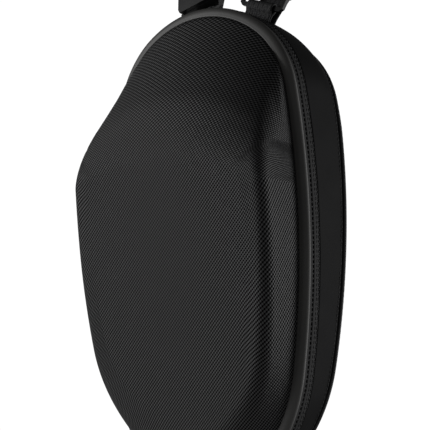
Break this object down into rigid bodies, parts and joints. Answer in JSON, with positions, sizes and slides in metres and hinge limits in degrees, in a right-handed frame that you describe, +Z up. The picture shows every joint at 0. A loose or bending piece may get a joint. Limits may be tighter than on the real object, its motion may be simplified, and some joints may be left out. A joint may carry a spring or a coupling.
{
  "type": "hard-shell carrying case",
  "caption": "Deep egg-shaped moulded hard case with a woven front, a zip round its rim, a piped soft rear half and buckled webbing loops to hang it from a bar",
  "frame": {"origin": "on the axis of the bar that both strap loops go over, midway between the loops", "axes": "+Z up, -Y out of the woven front, +X along the bar to the viewer's right when facing the front"},
  "size_m": [0.1808, 0.1332, 0.4375],
  "materials": {
    "shell_cloth": "woven, fine diamond weave over moulded foam",
    "band_vinyl": "smooth coated cloth",
    "lining_cloth": "brushed knit",
    "zip_tape": "woven tape",
    "zip_coil": "moulded nylon coil",
    "hinge_cloth": "woven",
    "gusset_cloth": "smooth coated cloth",
    "panel_cloth": "woven, coated",
    "piping_cloth": "coated cord piping",
    "webbing": "ribbed flat webbing",
    "buckle_plastic": "satin moulded plastic",
    "slider_metal": "satin black enamel"
  },
  "bodies": {
    "case_rear": {"rear_gusset": "gusset_cloth", "back_panel": "panel_cloth", "rear_piping": "piping_cloth", "rear_lining": "lining_cloth", "zip_tape_rear": "zip_tape", "zip_coil_rear": "zip_coil", "zip_end_stops": "slider_metal", "hinge_fabric_rear": "hinge_cloth", "strap_tab_left": "webbing", "buckle_socket_left": "buckle_plastic", "strap_run_left": "webbing", "strap_loop_left": "webbing", "strap_tab_right": "webbing", "buckle_socket_right": "buckle_plastic", "strap_run_right": "webbing", "strap_loop_right": "webbing"},
    "front_lid": {"front_shell": "shell_cloth", "front_lining": "lining_cloth", "front_rim_band": "band_vinyl", "zip_tape_front": "zip_tape", "zip_coil_front": "zip_coil", "hinge_fabric_front": "hinge_cloth"},
    "slider": {"zip_slider": "slider_metal"},
    "pull": {"zip_pull": "slider_metal"},
    "plug_left": {"buckle_plug_left": "buckle_plastic", "strap_eye_left": "webbing"},
    "prong_left_inner": {"buckle_prong_left_inner": "buckle_plastic"},
    "prong_left_outer": {"buckle_prong_left_outer": "buckle_plastic"},
    "plug_right": {"buckle_plug_right": "buckle_plastic", "strap_eye_right": "webbing"},
    "prong_right_inner": {"buckle_prong_right_inner": "buckle_plastic"},
    "prong_right_outer": {"buckle_prong_right_outer": "buckle_plastic"}
  },
  "joints": [
    {"name": "lid_hinge", "type": "hinge", "parent": "case_rear", "child": "front_lid", "pos_m": [0, -0.0684, -0.41728], "axis": [1, 0, 0], "range_deg": [0, 120]},
    {"name": "zip_run", "type": "hinge", "parent": "case_rear", "child": "slider", "pos_m": [0.01714, -0.0684, -0.32046], "axis": [0, 1, 0], "range_deg": [0, 35.5]},
    {"name": "pull_swing", "type": "hinge", "parent": "slider", "child": "pull", "pos_m": [-0.05819, -0.0684, -0.39475], "axis": [0, 1, 0], "range_deg": [-40, 128]},
    {"name": "buckle_slide_left", "type": "slide", "parent": "case_rear", "child": "plug_left", "axis": [-0.2488, 0.2756, 0.9285], "range_m": [0, 0.016], "deforming": ["strap_run_left"]},
    {"name": "prong_flex_left_inner", "type": "hinge", "parent": "plug_left", "child": "prong_left_inner", "pos_m": [-0.02443, -0.03619, -0.05716], "axis": [0.0713, 0.9613, -0.2662], "range_deg": [0, 11.2]},
    {"name": "prong_flex_left_outer", "type": "hinge", "parent": "plug_left", "child": "prong_left_outer", "pos_m": [-0.04761, -0.03619, -0.06337], "axis": [0.0713, 0.9613, -0.2662], "range_deg": [-11.2, 0]},
    {"name": "buckle_slide_right", "type": "slide", "parent": "case_rear", "child": "plug_right", "axis": [0.2488, 0.2756, 0.9285], "range_m": [0, 0.016], "deforming": ["strap_run_right"]},
    {"name": "prong_flex_right_inner", "type": "hinge", "parent": "plug_right", "child": "prong_right_inner", "pos_m": [0.02443, -0.03619, -0.05716], "axis": [-0.0713, 0.9613, -0.2662], "range_deg": [-11.2, 0]},
    {"name": "prong_flex_right_outer", "type": "hinge", "parent": "plug_right", "child": "prong_right_outer", "pos_m": [0.04761, -0.03619, -0.06337], "axis": [-0.0713, 0.9613, -0.2662], "range_deg": [0, 11.2]}
  ],
  "couplings": [
    {"joint": "prong_flex_left_inner", "follows": "buckle_slide_left", "rad_per_m": 12},
    {"joint": "prong_flex_left_outer", "follows": "buckle_slide_left", "rad_per_m": -12},
    {"joint": "prong_flex_right_inner", "follows": "buckle_slide_right", "rad_per_m": -12},
    {"joint": "prong_flex_right_outer", "follows": "buckle_slide_right", "rad_per_m": 12}
  ]
}
